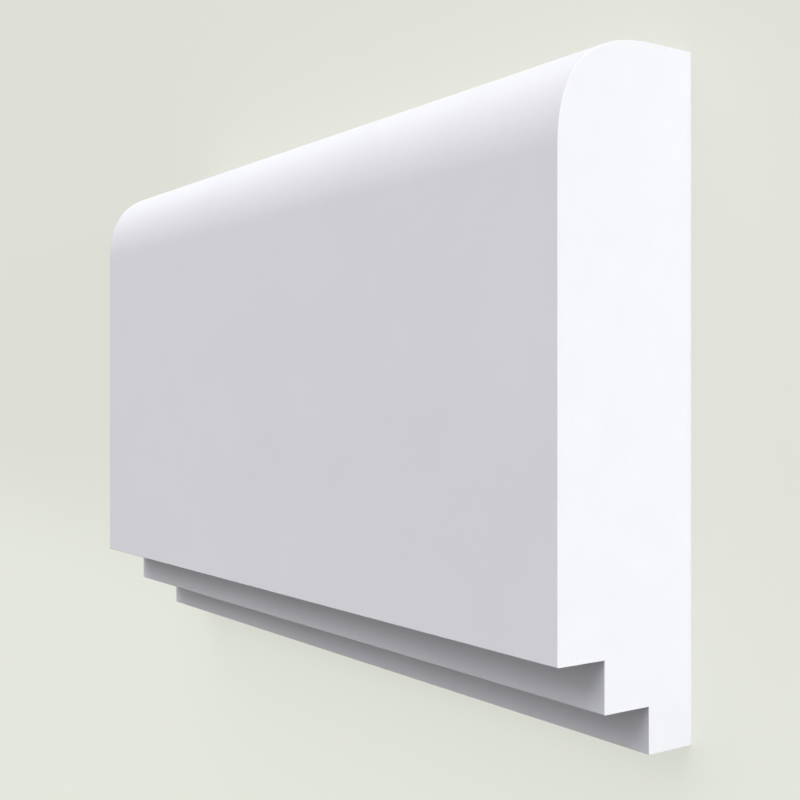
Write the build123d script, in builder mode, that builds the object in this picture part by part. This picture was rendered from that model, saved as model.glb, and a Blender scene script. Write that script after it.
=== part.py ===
from build123d import *
import os

# A short length of dado rail: one board moulding with a rounded top edge, a flat face,
# a lower edge cut back in two square steps, and a plain flat back that goes on the wall.
# It lies on its back, as it would on a floor, with the face up. Sizes are in millimetres.
# X runs along the length, Y from the stepped lower edge to the rounded top edge,
# and Z from the wall side out to the face. The origin is at the middle of the back.

# Planed board that the rail is moulded from
rail_length = 111.0
rail_height = 70.0
rail_thickness = 18.0

# Soft nose where the face turns into the top edge: how far down the face and how far back along
# the top edge the curve reaches; it turns slowest at both ends, and a narrow flat is left behind it
nose_on_face = 11.6
nose_on_top = 12.4

# The two steps, counted down from the face: how far each goes back, and how tall its riser is
upper_step_depth = 6.0
upper_step_height = 5.25
lower_step_depth = 6.0
lower_step_height = 4.75

# Long edges, barely broken with sandpaper; the ends stay crisp, as the saw leaves them
arris_radius = 0.1

# Each step is a rebate, measured from the lower edge and from the face
shallow_rebate_height = upper_step_height + lower_step_height
shallow_rebate_depth = upper_step_depth
deep_rebate_height = lower_step_height
deep_rebate_depth = upper_step_depth + lower_step_depth

with BuildPart() as dado_rail:
    # Cross-section, as seen looking at the sawn end: across is Y, up is Z
    with BuildSketch(Plane.YZ) as section:
        Rectangle(rail_height, rail_thickness, align=(Align.CENTER, Align.MIN))
        with Locations((-rail_height / 2, rail_thickness)):
            Rectangle(
                shallow_rebate_height,
                shallow_rebate_depth,
                align=(Align.MIN, Align.MAX),
                mode=Mode.SUBTRACT,
            )
            Rectangle(
                deep_rebate_height,
                deep_rebate_depth,
                align=(Align.MIN, Align.MAX),
                mode=Mode.SUBTRACT,
            )

        # Corner columns from the lower edge to the top edge: the outermost corner of each is an arris,
        # and the last one is left for the nose
        columns = section.vertices().group_by(Axis.X)
        step_arrises = [column.sort_by(Axis.Y)[-1] for column in columns[:-1]]
        back_arrises = section.vertices().group_by(Axis.Y)[0]
        fillet([*step_arrises, *back_arrises], radius=arris_radius)

        # The nose takes off the corner between face and top edge; its curve leaves both without a kink
        nose_start = (rail_height / 2 - nose_on_face, rail_thickness)
        nose_corner = (rail_height / 2, rail_thickness)
        nose_end = (rail_height / 2, rail_thickness - nose_on_top)
        with BuildLine():
            Bezier(nose_start, nose_corner, nose_end)
            Polyline(nose_end, nose_corner, nose_start)
        make_face(mode=Mode.SUBTRACT)

    # One straight run of moulding, the same all along
    extrude(amount=rail_length / 2, both=True)

dado_rail.part.label = "dado_rail"

os.makedirs("parts", exist_ok=True)
export_step(dado_rail.part, "parts/dado_rail.step")
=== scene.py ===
# %% [markdown]
# A short length of dado rail, painted white and lying on its back
#
# A dado rail is the moulding that runs round a room at about the height of a chair's back. This piece
# is a short sample of one: a single board with a rounded top edge, a flat face, a lower edge cut back
# in two square steps, and a plain back that goes on the wall. The measured solid is loaded first,
# because it fixes every size and place: X runs along the rail, Y from the stepped edge to the rounded
# edge, Z from the back to the face. The rest of the lesson dresses that solid: a finer skin, paint, a
# floor, soft light and a camera.

# %% Load the measured solid
import bmesh
import bpy
import math
from mathutils import Matrix, Vector
from mathutils.geometry import delaunay_2d_cdt


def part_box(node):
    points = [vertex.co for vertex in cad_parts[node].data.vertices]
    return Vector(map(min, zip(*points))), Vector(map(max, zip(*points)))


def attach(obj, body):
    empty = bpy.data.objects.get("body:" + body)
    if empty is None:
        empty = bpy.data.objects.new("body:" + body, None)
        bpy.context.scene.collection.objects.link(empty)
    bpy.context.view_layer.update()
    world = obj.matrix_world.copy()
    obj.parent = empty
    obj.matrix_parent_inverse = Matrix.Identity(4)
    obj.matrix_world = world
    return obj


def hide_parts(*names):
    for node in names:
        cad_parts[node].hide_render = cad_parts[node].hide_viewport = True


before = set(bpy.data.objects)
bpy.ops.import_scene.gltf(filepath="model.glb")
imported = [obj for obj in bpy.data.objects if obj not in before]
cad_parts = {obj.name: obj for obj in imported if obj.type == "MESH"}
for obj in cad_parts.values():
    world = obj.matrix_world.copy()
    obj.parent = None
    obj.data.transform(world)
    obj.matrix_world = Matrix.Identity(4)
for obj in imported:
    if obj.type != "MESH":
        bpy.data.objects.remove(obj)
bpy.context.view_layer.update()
lowest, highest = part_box("dado_rail")
mm = 0.001
print("Rail solid, in mm:", [round(side / mm, 2) for side in highest - lowest])

# %% [markdown]
# The section, corner by corner
#
# A moulding is one outline pulled straight along the board, so the outline is nearly all there is to
# model. The overall size comes from the solid, and the steps and the soft nose are the cutter's own
# sizes. The steps could be cut from a block with booleans, but those leave untidy faces, so the outline
# is listed as eight square corners, each with how far its rounding reaches along the two flats. The
# long edges are broken just enough to hold paint, a little paint gathers in each crease, and the nose
# is the same kind of corner with a long reach.

# %% List the corners of the section
upper_step_depth = 6.0 * mm
upper_step_height = 5.25 * mm
lower_step_depth = 6.0 * mm
lower_step_height = 4.75 * mm
nose_on_face = 11.6 * mm
nose_on_top = 12.4 * mm
arris = (0.1 * mm, 0.1 * mm)
crease = (0.08 * mm, 0.08 * mm)
nose = (nose_on_face, nose_on_top)

face_level = highest.z
upper_riser_level = face_level - upper_step_depth
lower_riser_level = upper_riser_level - lower_step_depth
lower_soffit = lowest.y + lower_step_height
upper_soffit = lower_soffit + upper_step_height

# How far up the wall, how far out from it, and how soft: once round the section from the lower back edge
section_corners = [
    (lowest.y, lowest.z, arris),
    (lowest.y, lower_riser_level, arris),
    (lower_soffit, lower_riser_level, crease),
    (lower_soffit, upper_riser_level, arris),
    (upper_soffit, upper_riser_level, crease),
    (upper_soffit, face_level, arris),
    (highest.y, face_level, nose),
    (highest.y, lowest.z, arris),
]
print("Section corners:", len(section_corners))

# %% [markdown]
# Rounding the corners
#
# Each corner is swapped for a smooth curve that meets both its flats without a kink. A quarter circle
# would do for the small ones, but the real nose turns slowly at first, fastest half way, and slowly
# again, which is the curve that a Bezier handle at the corner draws. The bevel tool could do this on
# the finished mesh, but then shading has to be guessed from the faces. Here every point also keeps the
# direction that the real surface faces there. That does two jobs later: it eases the sawn ends by an
# exact amount, and it shades flats flat and rounds round.

# %% Round the outline
facet_length = 0.35 * mm
fewest_facets = 4


def rounded_outline(corners):
    """Points round the section, each with the direction that the surface faces there."""
    outline = []
    for index, (across, out, (reach_before, reach_after)) in enumerate(corners):
        here = Vector((across, out))
        arriving = (here - Vector(corners[index - 1][:2])).normalized()
        leaving = (Vector(corners[(index + 1) % len(corners)][:2]) - here).normalized()
        facing_before = Vector((-arriving.y, arriving.x))
        facing_after = Vector((-leaving.y, leaving.x))
        facets = max(fewest_facets, round((reach_before + reach_after) / facet_length))
        for step in range(facets + 1):
            come = 1 - step / facets
            gone = step / facets
            point = here - arriving * reach_before * come ** 2 + leaving * reach_after * gone ** 2
            facing = facing_before * reach_before * come + facing_after * reach_after * gone
            outline.append((point, facing.normalized()))
    return outline


outline = rounded_outline(section_corners)
print("Points round the section:", len(outline))

# %% [markdown]
# Pulling the section along the rail
#
# The skin is a row of rings along X, like slices of the moulding, joined by four-sided faces. An array
# or an extrude would do for the straight run. The rings near each end also draw in along a small
# quarter circle, which is what fine sandpaper does to a sawn edge, and that thin turned edge is what
# catches the light on the real piece. One many-sided face could close each end, but with notches in it
# Blender may fill it wrongly, so the ends are filled with triangles that keep to the outline. The
# directions kept above go in as the mesh's own normals.

# %% Build the rail's skin
end_ease = 0.06 * mm
end_steps = 4
ring_spacing = 3.0 * mm
inside_only = 1
same_point = 0.0001 * mm


def ring_places(start, finish):
    """Each ring's place along the rail, its inset, and how far its surface leans to the end, in radians."""
    turns = [math.pi / 2 * step / end_steps for step in range(end_steps + 1)]
    eased = [(end_ease * (1 - math.sin(turn)), end_ease * (1 - math.cos(turn)), turn) for turn in turns]
    far_end = [(start + back, inset, -turn) for back, inset, turn in reversed(eased)]
    near_end = [(finish - back, inset, turn) for back, inset, turn in eased]
    spans = round((finish - start - 2 * end_ease) / ring_spacing)
    span = (finish - start - 2 * end_ease) / spans
    run = [(start + end_ease + span * step, 0.0, 0.0) for step in range(1, spans)]
    return far_end + run + near_end


def end_triangles(outline):
    """Triangles that fill the section, each as three places in the outline."""
    points = [point for point, facing in outline]
    filled = delaunay_2d_cdt(points, [], [range(len(points))], inside_only, same_point)
    triangles, places_of = filled[2], filled[3]
    return [[places_of[corner][0] for corner in triangle] for triangle in triangles]


def rail_skin(name, outline, places):
    """A closed skin of rings with the outline's shape, and the end faces as a second material."""
    shape = bmesh.new()
    rings = []
    normals = []
    for along, inset, lean in places:
        ring = []
        for point, facing in outline:
            spot = point - facing * inset
            ring.append(shape.verts.new((along, spot.x, spot.y)))
            normals.append((math.sin(lean), facing.x * math.cos(lean), facing.y * math.cos(lean)))
        rings.append(ring)
    for ring, following in zip(rings, rings[1:]):
        for index in range(len(ring)):
            shape.faces.new((ring[index - 1], ring[index], following[index], following[index - 1]))
    for end in (rings[0], rings[-1]):
        for triangle in end_triangles(outline):
            shape.faces.new([end[place] for place in triangle]).material_index = 1
    bmesh.ops.recalc_face_normals(shape, faces=shape.faces)
    mesh = bpy.data.meshes.new(name)
    shape.to_mesh(mesh)
    shape.free()
    mesh.shade_smooth()
    mesh.normals_split_custom_set_from_vertices(normals)
    skin = bpy.data.objects.new(name, mesh)
    bpy.context.scene.collection.objects.link(skin)
    return skin


rail = rail_skin("painted_rail", outline, ring_places(lowest.x, highest.x))
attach(rail, "root")
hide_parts("dado_rail")
print("Rail skin faces:", len(rail.data.polygons))

# %% [markdown]
# Helpers for the paint
#
# Both finishes are built from the same few nodes, so small helpers keep the material cells short: one
# adds a node and fills in its sockets, one adds a noise pattern of a real size, one spreads a pattern
# over a range of values, and one mixes two colours. The nodes could be wired by hand in the shader
# editor, but then every finish repeats the wiring. Patterns are measured in the rail's own coordinates,
# in metres, so a grain of half a millimetre stays half a millimetre from any side.

# %% Node helpers
def add_node(tree, kind, **sockets):
    """A new node of that kind; sockets are named with _ for a space."""
    node = tree.nodes.new(kind)
    for name, value in sockets.items():
        node.inputs[name.replace("_", " ")].default_value = value
    return node


def grain(tree, size, stretch=(1, 1, 1), detail=2.0):
    """A noise pattern with grains of about that size in metres, drawn out along each axis by stretch."""
    place = add_node(tree, "ShaderNodeTexCoord")
    squeeze = add_node(tree, "ShaderNodeMapping", Scale=[1 / pull for pull in stretch])
    noise = add_node(tree, "ShaderNodeTexNoise", Scale=1 / size, Detail=detail)
    tree.links.new(place.outputs["Object"], squeeze.inputs["Vector"])
    tree.links.new(squeeze.outputs["Vector"], noise.inputs["Vector"])
    return noise


def spread(tree, source, low, high):
    """Noise bunches round its middle, so its middle half is spread over the wanted range."""
    ranger = add_node(tree, "ShaderNodeMapRange", From_Min=0.25, From_Max=0.75, To_Min=low, To_Max=high)
    tree.links.new(source.outputs[0], ranger.inputs["Value"])
    return ranger


def mix_colours(tree, first, second):
    """A node that goes from the first colour to the second as its Factor goes from 0 to 1."""
    mixer = add_node(tree, "ShaderNodeMix")
    mixer.data_type = "RGBA"
    mixer.inputs["A"].default_value = (*first, 1)
    mixer.inputs["B"].default_value = (*second, 1)
    return mixer


# %% [markdown]
# White satin paint on the long faces
#
# The board is sprayed with white primer and sanded between coats along its length. Close to, that is
# not one flat white: the spray leaves a fine stipple of about half a millimetre, the sanding leaves
# faint lines along the rail, and the coat is a touch thicker or glossier from place to place. A picture
# of paint could be wrapped round the rail, but noise needs no unwrapping and has no seam at the edges.
# The relief is about a hundredth of a millimetre.

# %% Paint the long faces
paint_white = (0.815, 0.815, 0.867)
paint_thin = (0.795, 0.796, 0.848)
satin_shine = 0.35
satin_roughness = (0.54, 0.66)
satin_patch_size = 14 * mm
sanding_width = 0.5 * mm
sanding_drawn_out = 40
sanding_relief = 0.004 * mm
stipple_size = 0.55 * mm
stipple_relief = 0.012 * mm


def new_paint(name):
    """A material with just a shader, given back with its nodes and their shader."""
    paint = bpy.data.materials.new(name)
    paint.use_nodes = True
    return paint, paint.node_tree, paint.node_tree.nodes["Principled BSDF"]


def patchy_tone(tree, shader, patch_size):
    """White that is a touch thinner in soft patches of that size."""
    tone = mix_colours(tree, paint_thin, paint_white)
    tree.links.new(spread(tree, grain(tree, patch_size), 0, 1).outputs[0], tone.inputs["Factor"])
    tree.links.new(tone.outputs["Result"], shader.inputs["Base Color"])


def relief(tree, shader, layers):
    """Fine bumps, one on top of the other: each layer is a pattern and how tall it is."""
    below = None
    for pattern, height in layers:
        bump = add_node(tree, "ShaderNodeBump", Strength=1, Distance=height)
        tree.links.new(pattern.outputs[0], bump.inputs["Height"])
        if below:
            tree.links.new(below.outputs["Normal"], bump.inputs["Normal"])
        below = bump
    tree.links.new(below.outputs["Normal"], shader.inputs["Normal"])


def satin_paint():
    """Sprayed and sanded white paint, for the faces that run along the rail."""
    paint, tree, shader = new_paint("white_satin_paint")
    shader.inputs["Specular IOR Level"].default_value = satin_shine
    patchy_tone(tree, shader, satin_patch_size)
    sanding = grain(tree, sanding_width, stretch=(sanding_drawn_out, 1, 1))
    stipple = grain(tree, stipple_size)
    tree.links.new(spread(tree, sanding, *satin_roughness).outputs[0], shader.inputs["Roughness"])
    relief(tree, shader, [(sanding, sanding_relief), (stipple, stipple_relief)])
    return paint


rail.data.materials.append(satin_paint())
print("Long faces:", rail.data.materials[0].name)

# %% [markdown]
# Painted sawn ends
#
# The ends were cut across with a circular saw and then painted like the rest. The saw leaves shallow
# arcs that follow its rim, and the cut drinks in more paint, so it dries flatter and coarser. Rings
# round a far centre give the arcs. They could be modelled as relief, but at about a hundredth of a
# millimetre only the way they bend light matters, and that is what bump does.

# %% Paint the sawn ends
sawn_shine = 0.25
sawn_roughness = (0.55, 0.7)
sawn_patch_size = 5 * mm
fibre_size = 0.3 * mm
fibre_detail = 4.0
fibre_relief = 0.010 * mm
blade_radius = 125 * mm
saw_mark_spacing = 0.7 * mm
saw_mark_wobble = 1.5
saw_mark_relief = 0.006 * mm

# The wave texture draws one ring in this length when its scale is 1
ring_at_scale_one = math.pi / 10


def saw_arcs(tree):
    """Rings round the blade's centre, which lies well below the board."""
    place = add_node(tree, "ShaderNodeTexCoord")
    blade_centre = add_node(tree, "ShaderNodeMapping", Location=(0, 0, blade_radius))
    rings_scale = ring_at_scale_one / saw_mark_spacing
    arcs = add_node(tree, "ShaderNodeTexWave", Scale=rings_scale, Distortion=saw_mark_wobble)
    arcs.wave_type = "RINGS"
    arcs.rings_direction = "X"
    tree.links.new(place.outputs["Object"], blade_centre.inputs["Vector"])
    tree.links.new(blade_centre.outputs["Vector"], arcs.inputs["Vector"])
    return arcs


def sawn_paint():
    """Flatter white paint over the saw's arcs, for the two end faces."""
    paint, tree, shader = new_paint("white_sawn_end_paint")
    shader.inputs["Specular IOR Level"].default_value = sawn_shine
    patchy_tone(tree, shader, sawn_patch_size)
    fibres = grain(tree, fibre_size, detail=fibre_detail)
    tree.links.new(spread(tree, fibres, *sawn_roughness).outputs[0], shader.inputs["Roughness"])
    relief(tree, shader, [(saw_arcs(tree), saw_mark_relief), (fibres, fibre_relief)])
    return paint


rail.data.materials.append(sawn_paint())
print("Sawn ends:", rail.data.materials[1].name)

# %% [markdown]
# The floor
#
# The rail lies on a wide sheet of pale grey-green paper. The paper is a plain matt surface that takes
# the rail's soft shadow and throws a little light back. To the camera, and in reflections, it also
# glows a little: that lifts it to a pale backdrop and softens the shadow, while no extra light falls on
# the rail. On the side of the stepped edge the glow also holds painted light: a wide pool, a shade
# lighter, that fades out far from the rail. A lamp for that side would spoil the steps' shade, so that
# light is painted into the paper's glow instead.

# %% Lay the floor
floor_half_width = 3.0
paper_colour = (0.74, 0.755, 0.69)
# Glow colours: the lighter one by the steps is painted light, a pool that fades out between the two pool
# distances
glow_by_the_nose = (0.80, 0.815, 0.745)
glow_with_painted_light_by_the_steps = (0.875, 0.90, 0.815)
glow_change_starts = -5 * mm
glow_change_ends = -45 * mm
painted_pool_fades_from = 260 * mm
painted_pool_ends = 1000 * mm
glow_share = 0.72


def looked_at(tree):
    """1 for a ray from the camera or from a shiny or clear surface, 0 for a ray that gathers light."""
    rays = add_node(tree, "ShaderNodeLightPath")
    total = None
    for kind in ("Is Camera Ray", "Is Glossy Ray", "Is Transmission Ray"):
        adder = add_node(tree, "ShaderNodeMath")
        adder.use_clamp = True
        tree.links.new(rays.outputs[kind], adder.inputs[0])
        if total:
            tree.links.new(total.outputs[0], adder.inputs[1])
        else:
            adder.inputs[1].default_value = 0
        total = adder
    return total


def glow_tone_with_painted_pool(tree):
    """The glow's colour, with painted light: lighter on the side of the steps, in a soft pool that fades
    away from the rail.
    """
    place = add_node(tree, "ShaderNodeTexCoord")
    parts = add_node(tree, "ShaderNodeSeparateXYZ")
    change = add_node(tree, "ShaderNodeMapRange", From_Min=glow_change_starts, From_Max=glow_change_ends)
    change.interpolation_type = "SMOOTHSTEP"
    distance = add_node(tree, "ShaderNodeVectorMath")
    distance.operation = "LENGTH"
    fade = add_node(tree, "ShaderNodeMapRange", From_Min=painted_pool_ends, From_Max=painted_pool_fades_from)
    fade.interpolation_type = "SMOOTHSTEP"
    tone = mix_colours(tree, glow_by_the_nose, glow_with_painted_light_by_the_steps)
    tree.links.new(place.outputs["Object"], parts.inputs["Vector"])
    tree.links.new(place.outputs["Object"], distance.inputs[0])
    tree.links.new(distance.outputs["Value"], fade.inputs["Value"])
    tree.links.new(parts.outputs["Y"], change.inputs["Value"])
    tree.links.new(fade.outputs[0], change.inputs["To Max"])
    tree.links.new(change.outputs[0], tone.inputs["Factor"])
    return tone


def paper():
    """Matt paper that glows a little where it is looked at."""
    sheet = bpy.data.materials.new("pale_paper")
    sheet.use_nodes = True
    tree = sheet.node_tree
    tree.nodes.remove(tree.nodes["Principled BSDF"])
    matt = add_node(tree, "ShaderNodeBsdfDiffuse", Color=(*paper_colour, 1))
    glow = add_node(tree, "ShaderNodeEmission")
    share = add_node(tree, "ShaderNodeMath")
    share.operation = "MULTIPLY"
    share.inputs[1].default_value = glow_share
    blend = add_node(tree, "ShaderNodeMixShader")
    tree.links.new(glow_tone_with_painted_pool(tree).outputs["Result"], glow.inputs["Color"])
    tree.links.new(looked_at(tree).outputs[0], share.inputs[0])
    tree.links.new(share.outputs[0], blend.inputs["Fac"])
    tree.links.new(matt.outputs[0], blend.inputs[1])
    tree.links.new(glow.outputs[0], blend.inputs[2])
    tree.links.new(blend.outputs[0], tree.nodes["Material Output"].inputs["Surface"])
    return sheet


def flat_sheet(name, half_width, level):
    """A square sheet lying level at that height."""
    mesh = bpy.data.meshes.new(name)
    corners = [(x * half_width, y * half_width, level) for x, y in ((-1, -1), (1, -1), (1, 1), (-1, 1))]
    mesh.from_pydata(corners, [], [(0, 1, 2, 3)])
    sheet = bpy.data.objects.new(name, mesh)
    bpy.context.scene.collection.objects.link(sheet)
    return sheet


floor = flat_sheet("floor", floor_half_width, lowest.z)
floor.data.materials.append(paper())
print("Floor level, in mm:", round(floor.data.vertices[0].co.z / mm, 3))

# %% [markdown]
# The camera
#
# The picture to match looks at the face from beyond one sawn end, level with the middle of the rail.
# Our rail lies down, so the same view is a camera above and beyond that end, turned on its side so that
# the rail's top edge is up. The place is given from the rail itself: how far past the end, how far
# above the face.

# %% Set up the camera
eye_past_end = 84.5 * mm
eye_above_face = 76.26 * mm
eye_across = -0.12 * mm
look_down = math.radians(34.699)
lens_length = 54.86
sensor_width = 36
nearest_seen = 10 * mm

eye = Vector((highest.x + eye_past_end, eye_across, highest.z + eye_above_face))
forward = Vector((-math.cos(look_down), 0, -math.sin(look_down)))
picture_up = Vector((0, 1, 0))
picture_right = forward.cross(picture_up)
camera_data = bpy.data.cameras.new("camera")
camera_data.lens = lens_length
camera_data.sensor_width = sensor_width
camera_data.clip_start = nearest_seen
camera = bpy.data.objects.new("camera", camera_data)
turned = Matrix((picture_right, picture_up, -forward)).transposed().to_4x4()
camera.matrix_world = Matrix.Translation(eye) @ turned
bpy.context.scene.collection.objects.link(camera)
bpy.context.scene.camera = camera
print("Camera, in mm:", [round(part / mm, 1) for part in eye])

# %% [markdown]
# The light
#
# The round edge and the sawn end are the brightest, the face is a soft grey, and the steps are darker
# still. So two lights come over the rounded edge: a very wide one, like a window, that also reaches
# into the steps, and a narrower one that brightens the nose against the face. A third, low one looks
# straight at the sawn end. It skims the face, where it would glare at a low eye on the far side, so it
# is kept out of reflections, much as a polarising filter on a lens would do. Lamps close by would fade
# along the rail; suns with a wide angle light it evenly and still give soft shadows. They are only as
# strong as keeps nearly all of the paint short of plain white, so the nose and the end show their form.

# %% Light the rail
def wide_sun(name, comes_from, climb, spread_angle, strength):
    """A soft sun; its angles are in degrees: comes_from goes round from +X, and climb up from the floor."""
    lamp = bpy.data.lights.new(name, "SUN")
    lamp.angle = math.radians(spread_angle)
    lamp.energy = strength
    sun = bpy.data.objects.new(name, lamp)
    turn = math.radians(comes_from)
    rise = math.radians(climb)
    outward = math.cos(rise)
    source = Vector((math.cos(turn) * outward, math.sin(turn) * outward, math.sin(rise)))
    sun.rotation_euler = source.to_track_quat("Z", "Y").to_euler()
    bpy.context.scene.collection.objects.link(sun)
    return sun


window_light = wide_sun("window_light", comes_from=90, climb=37, spread_angle=120, strength=1.71)
edge_light = wide_sun("edge_light", comes_from=90, climb=37, spread_angle=60, strength=1.72)
end_light = wide_sun("end_light", comes_from=0, climb=4, spread_angle=12, strength=2.33)
end_light.visible_glossy = False
print("Lamps:", window_light.name, edge_light.name, end_light.name)

# %% [markdown]
# The sky
#
# A room also sends a little light from everywhere, so a faint even sky keeps the shadows from going
# dead. A picture of a sky could light the rail, but it would bring reflections of a place that the rail
# isn't in. Where the sky is looked at, straight or in a reflection, it has the paper's colour, so the
# floor has no visible end.

# %% Add a little sky
sky_colour = (1.0, 1.0, 1.0)
sky_strength = 0.01


def plain_sky():
    """A faint, even sky for light; where it is looked at it has the paper's colour instead."""
    sky = bpy.data.worlds.new("plain_sky")
    sky.use_nodes = True
    tree = sky.node_tree
    light = tree.nodes["Background"]
    light.inputs["Color"].default_value = (*sky_colour, 1)
    light.inputs["Strength"].default_value = sky_strength
    backdrop = add_node(tree, "ShaderNodeBackground", Color=(*paper_colour, 1))
    choose = add_node(tree, "ShaderNodeMixShader")
    tree.links.new(looked_at(tree).outputs[0], choose.inputs["Fac"])
    tree.links.new(light.outputs[0], choose.inputs[1])
    tree.links.new(backdrop.outputs[0], choose.inputs[2])
    tree.links.new(choose.outputs[0], tree.nodes["World Output"].inputs["Surface"])
    return sky


bpy.context.scene.world = plain_sky()
bpy.context.scene.view_settings.view_transform = "Standard"
print("Sky:", bpy.context.scene.world.name)
